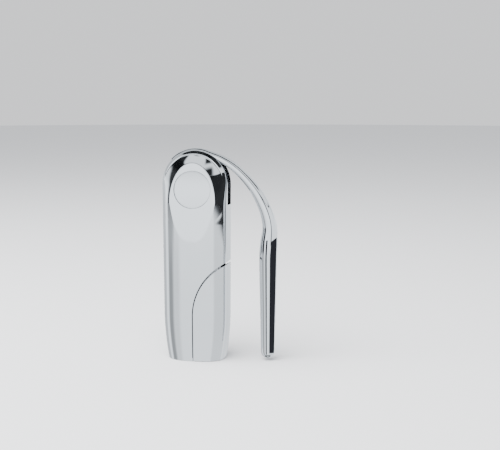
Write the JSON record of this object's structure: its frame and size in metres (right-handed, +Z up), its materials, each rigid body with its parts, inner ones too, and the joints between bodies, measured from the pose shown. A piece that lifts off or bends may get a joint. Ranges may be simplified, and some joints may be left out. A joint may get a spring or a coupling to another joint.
{
  "type": "vertical lever corkscrew",
  "caption": "Hand-held vertical-lever corkscrew: oval chromed body with faceted front and cap, swinging lever that works a geared worm, and a squeeze jaw for the neck.",
  "frame": {"origin": "on the bottle axis, in the plane that the body stands on", "axes": "+Z up along the bottle axis, +X towards the hanging lever, -Y towards the front cap"},
  "size_m": [0.1061, 0.041, 0.1941],
  "materials": {
    "chrome": "mirror-polished chrome plate on a zinc casting",
    "satin_chrome": "fine satin chrome plate",
    "steel": "ground and blanked steel",
    "screw_steel": "zinc-plated machine screws",
    "gear_steel": "hobbed and tumbled steel",
    "worm_steel": "non-stick dark coating on hardened steel wire",
    "spring_steel": "hardened spring steel",
    "bronze": "sintered bronze",
    "black_nylon": "moulded black nylon",
    "rubber": "soft black rubber"
  },
  "bodies": {
    "housing": {"front_shell": "chrome", "rear_shell": "chrome", "front_cap": "satin_chrome", "rear_cap": "satin_chrome", "front_frame_plate": "steel", "rear_frame_plate": "steel", "frame_screws": "screw_steel", "carriage_rail": "steel", "rack_guide": "steel", "pivot_axle": "steel", "pivot_screws": "screw_steel", "thrust_washers": "black_nylon", "idler_pins": "steel", "neck_sleeve": "black_nylon", "fixed_neck_pad": "rubber", "base_plate": "black_nylon", "base_screws": "screw_steel", "cutter_pins": "steel", "worm_nut": "black_nylon", "nut_latch": "steel", "jaw_pin": "steel"},
    "lever_arm": {"lever": "chrome", "front_hub_gear": "gear_steel", "rear_hub_gear": "gear_steel", "hub_dowels": "steel", "pivot_bush": "bronze"},
    "front_idler": {"front_idler_gear": "gear_steel"},
    "rear_idler": {"rear_idler_gear": "gear_steel"},
    "carriage_block": {"carriage": "black_nylon", "front_rack": "gear_steel", "rear_rack": "gear_steel", "rack_pins": "steel"},
    "worm_screw": {"worm": "worm_steel", "worm_retainer": "steel"},
    "grip_jaw": {"jaw": "chrome", "jaw_pad": "rubber", "jaw_spring": "spring_steel"},
    "front_cutter": {"front_foil_wheel": "spring_steel"},
    "rear_cutter": {"rear_foil_wheel": "spring_steel"}
  },
  "joints": [
    {"name": "lever_lift", "type": "hinge", "parent": "housing", "child": "lever_arm", "pos_m": [0, 0, 0.1615], "axis": [0, -1, 0], "range_deg": [0, 155]},
    {"name": "front_idler_spin", "type": "hinge", "parent": "housing", "child": "front_idler", "pos_m": [0, 0, 0.12475], "axis": [0, -1, 0], "range_deg": [-137.2, 0]},
    {"name": "rear_idler_spin", "type": "hinge", "parent": "housing", "child": "rear_idler", "pos_m": [0, 0, 0.12475], "axis": [0, -1, 0], "range_deg": [-137.2, 0]},
    {"name": "carriage_travel", "type": "slide", "parent": "housing", "child": "carriage_block", "axis": [0, 0, 1], "range_m": [0, 0.0467]},
    {"name": "worm_turn", "type": "hinge", "parent": "carriage_block", "child": "worm_screw", "pos_m": [0, 0, 0.069], "axis": [0, 0, 1], "range_deg": [0, 1769]},
    {"name": "jaw_squeeze", "type": "hinge", "parent": "housing", "child": "grip_jaw", "pos_m": [0.0235, 0, 0.024], "axis": [0, -1, 0], "range_deg": [0, 1.4], "stiffness_Nm_per_rad": 2},
    {"name": "front_wheel_spin", "type": "hinge", "parent": "housing", "child": "front_cutter", "pos_m": [-0.0144, -0.01208, 0.0095], "axis": [0, 0, 1], "continuous": true},
    {"name": "rear_wheel_spin", "type": "hinge", "parent": "housing", "child": "rear_cutter", "pos_m": [-0.0144, 0.01208, 0.0095], "axis": [0, 0, 1], "continuous": true}
  ],
  "couplings": [
    {"joint": "front_idler_spin", "follows": "lever_lift", "ratio": -0.88462},
    {"joint": "rear_idler_spin", "follows": "lever_lift", "ratio": -0.88462},
    {"joint": "carriage_travel", "follows": "lever_lift", "m_per_rad": 0.01725},
    {"joint": "worm_turn", "follows": "lever_lift", "ratio": 11.409}
  ]
}
